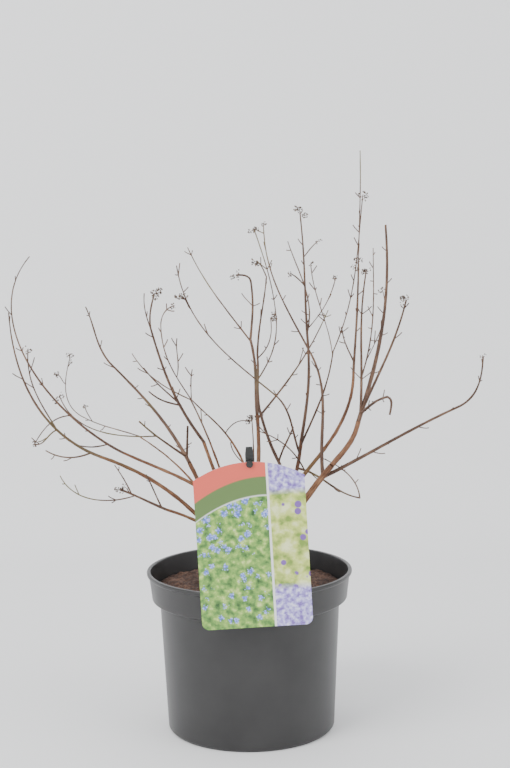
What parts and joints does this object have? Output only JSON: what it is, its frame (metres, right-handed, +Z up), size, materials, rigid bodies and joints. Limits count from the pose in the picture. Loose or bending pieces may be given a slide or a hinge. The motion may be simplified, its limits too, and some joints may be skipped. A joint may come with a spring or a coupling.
{
  "type": "potted bluebeard shrub",
  "caption": "Bare twiggy bluebeard shrub with dry seed heads, in a round black nursery pot with a printed plant label on a stake.",
  "frame": {"origin": "centre of the pot's flat underside", "axes": "+Z up, with the label on the -Y side and +X to its right seen from the front"},
  "size_m": [0.4242, 0.3028, 0.515],
  "materials": {
    "black_plastic": "Moulded black plastic, semi-matt.",
    "potting_soil": "Dark brown potting soil with bark chips and fibres.",
    "bark": "Reddish brown bark with fine lengthwise ridges.",
    "twigs": "Greyish brown twigs with dry seed heads.",
    "label_card": null,
    "stake_plastic": "Black plastic."
  },
  "bodies": {
    "root": {"pot": "black_plastic", "potting_soil": "potting_soil", "stock": "bark", "bough_low_left": "bark", "bough_left": "bark", "bough_far_left": "bark", "bough_upper_left": "bark", "bough_fan": "bark", "bough_arch": "bark", "bough_inner": "bark", "bough_front": "bark", "bough_centre": "bark", "bough_fork": "bark", "bough_upright": "bark", "bough_tall": "bark", "bough_right": "bark", "bough_elbow": "bark", "twigs_low_left": "twigs", "twigs_left": "twigs", "twigs_far_left": "twigs", "twigs_upper_left": "twigs", "twigs_fan": "twigs", "twigs_arch": "twigs", "twigs_inner": "twigs", "twigs_front": "twigs", "twigs_centre": "twigs", "twigs_cross_right": "twigs", "twigs_fork": "twigs", "twigs_upright": "twigs", "twigs_leaning": "twigs", "twigs_crossing": "twigs", "twigs_tall": "twigs", "twigs_cluster": "twigs", "twigs_wide": "twigs", "twigs_steep": "twigs", "twigs_low_right": "twigs", "twigs_short": "twigs", "label": "label_card", "label_stake": "stake_plastic"}
  },
  "joints": []
}
